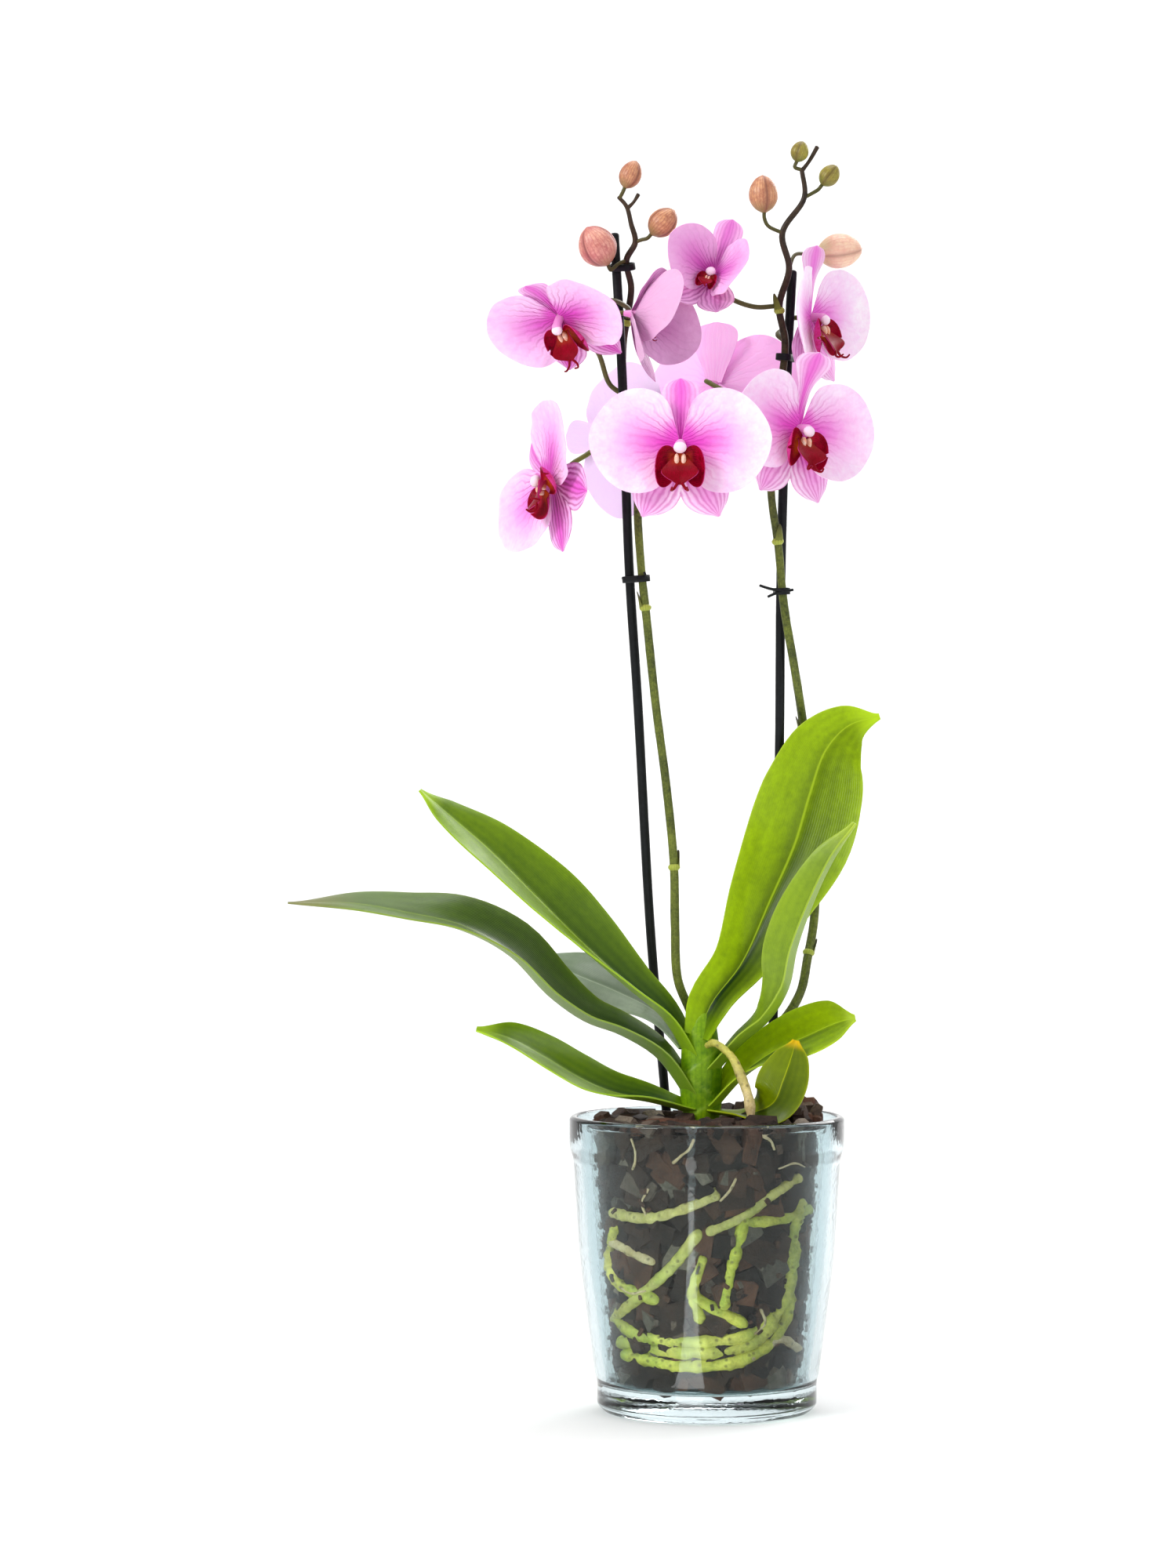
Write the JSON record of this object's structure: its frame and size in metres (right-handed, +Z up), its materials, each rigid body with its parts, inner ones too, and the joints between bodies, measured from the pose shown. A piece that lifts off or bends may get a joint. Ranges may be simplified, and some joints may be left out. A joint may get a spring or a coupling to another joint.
{
  "type": "potted orchid",
  "caption": "Moth orchid with pink blooms and buds on staked spikes, in bark in a clear nursery pot inside a clear glass pot.",
  "frame": {"origin": "middle of the glass pot's underside", "axes": "+Z up along the pot's axis, -Y towards the front, where the largest bloom faces"},
  "size_m": [0.3026, 0.1501, 0.646],
  "materials": {
    "clear_glass": "polished",
    "clear_plastic": "clear",
    "bark": "rough",
    "root": "satin",
    "leaf": "satin",
    "spike": "satin",
    "stake": "matte",
    "petal": "velvety",
    "lip": "satin",
    "bud": "satin"
  },
  "bodies": {
    "root": {"glass_pot": "clear_glass", "nursery_pot": "clear_plastic", "bark_medium": "bark", "roots": "root", "aerial_root": "root", "crown": "leaf", "leaf_upright": "leaf", "leaf_folded": "leaf", "leaf_right": "leaf", "leaf_young": "leaf", "leaf_upper_left": "leaf", "leaf_far_left": "leaf", "leaf_lower_left": "leaf", "leaf_back": "leaf", "stake_left": "stake", "stake_right": "stake", "spike_left": "spike", "spike_right": "spike", "clip_left_low": "stake", "clip_left_top": "stake", "clip_right_low": "stake", "clip_right_top": "stake", "bud_1": "bud", "bud_2": "bud", "bud_3": "bud", "bud_4": "bud", "bud_5": "bud", "bud_6": "bud", "bud_7": "bud", "bloom_1": "petal", "bloom_2": "petal", "bloom_3": "petal", "bloom_4": "petal", "bloom_5": "petal", "bloom_6": "petal", "bloom_7": "petal", "bloom_8": "petal", "bloom_9": "petal", "bloom_lip_1": "lip", "bloom_lip_2": "lip", "bloom_lip_3": "lip", "bloom_lip_4": "lip", "bloom_lip_5": "lip", "bloom_lip_6": "lip", "bloom_lip_7": "lip", "bloom_lip_8": "lip", "bloom_lip_9": "lip"}
  },
  "joints": []
}
